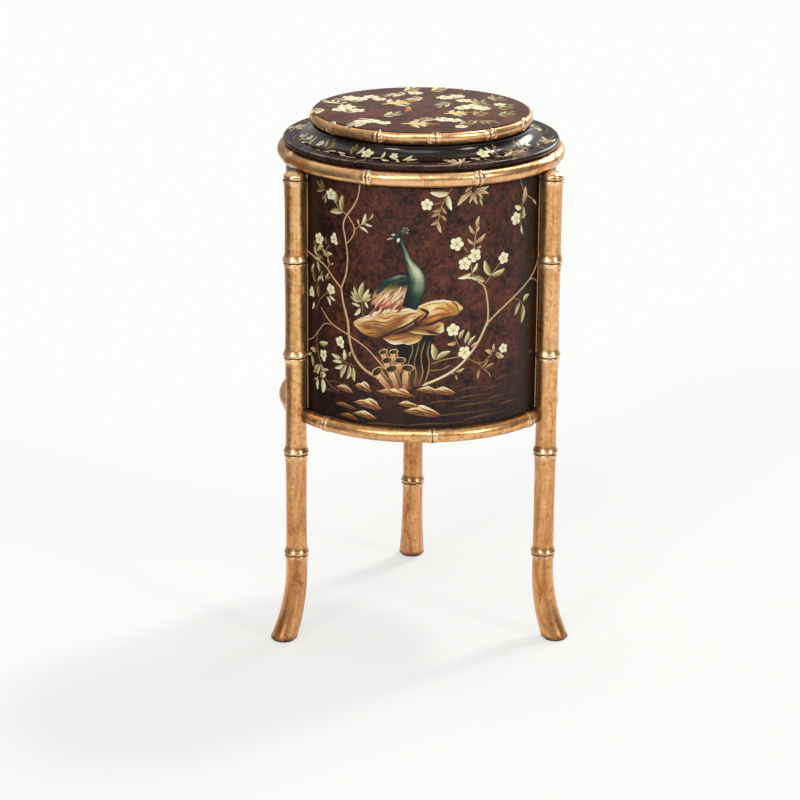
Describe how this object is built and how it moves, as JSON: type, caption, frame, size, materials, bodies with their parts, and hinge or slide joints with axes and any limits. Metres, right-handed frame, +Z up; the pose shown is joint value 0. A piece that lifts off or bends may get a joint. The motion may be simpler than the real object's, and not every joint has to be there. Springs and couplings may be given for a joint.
{
  "type": "drum side table",
  "caption": "Round drum side table: a hollow lacquered drum with a lift-off stepped lid, carried by gilded bamboo-style legs with swept feet.",
  "frame": {"origin": "on the floor, under the middle of the table's bounding box; the drum's axis stands 18.2 mm in front of it (towards -Y), because the back foot reaches further than the rings do at the front", "axes": "+Z up, -Y towards the front between the two front legs, +X to the right of someone facing the front"},
  "size_m": [0.3616, 0.377, 0.635],
  "materials": {
    "gilt_bamboo": "aged gilding on turned wood, rubbed, semi-gloss",
    "painted_lacquer": "mottled red-brown lacquer with painted decoration, semi-gloss",
    "black_lacquer": "near-black lacquer, gloss",
    "inner_wood": "plain stained wood, matt",
    "foot_felt": "dark felt",
    "screw_metal": "dull"
  },
  "bodies": {
    "base": {"leg_left": "gilt_bamboo", "leg_right": "gilt_bamboo", "leg_back": "gilt_bamboo", "lower_rail_front": "gilt_bamboo", "lower_rail_left": "gilt_bamboo", "lower_rail_right": "gilt_bamboo", "drum_shell": "painted_lacquer", "base_hoop": "inner_wood", "base_board": "inner_wood", "foot_pad_left": "foot_felt", "foot_pad_right": "foot_felt", "foot_pad_back": "foot_felt", "base_screw_front_a": "screw_metal", "base_screw_front_b": "screw_metal", "base_screw_left_a": "screw_metal", "base_screw_left_b": "screw_metal", "base_screw_right_a": "screw_metal", "base_screw_right_b": "screw_metal", "leg_screw_left_upper": "screw_metal", "leg_screw_left_lower": "screw_metal", "leg_screw_right_upper": "screw_metal", "leg_screw_right_lower": "screw_metal", "leg_screw_back_upper": "screw_metal", "leg_screw_back_lower": "screw_metal"},
    "lid": {"lid_core": "black_lacquer", "lid_locator": "inner_wood", "lid_flange": "black_lacquer", "lid_neck": "black_lacquer", "lid_top_board": "painted_lacquer", "lid_edge_ring": "gilt_bamboo", "lid_top_rim": "gilt_bamboo", "lid_screw_1": "screw_metal", "lid_screw_2": "screw_metal", "lid_screw_3": "screw_metal", "lid_screw_4": "screw_metal"}
  },
  "joints": [
    {"name": "lid_lift", "type": "slide", "parent": "base", "child": "lid", "axis": [0, 0, 1], "range_m": [0, 0.32]}
  ]
}
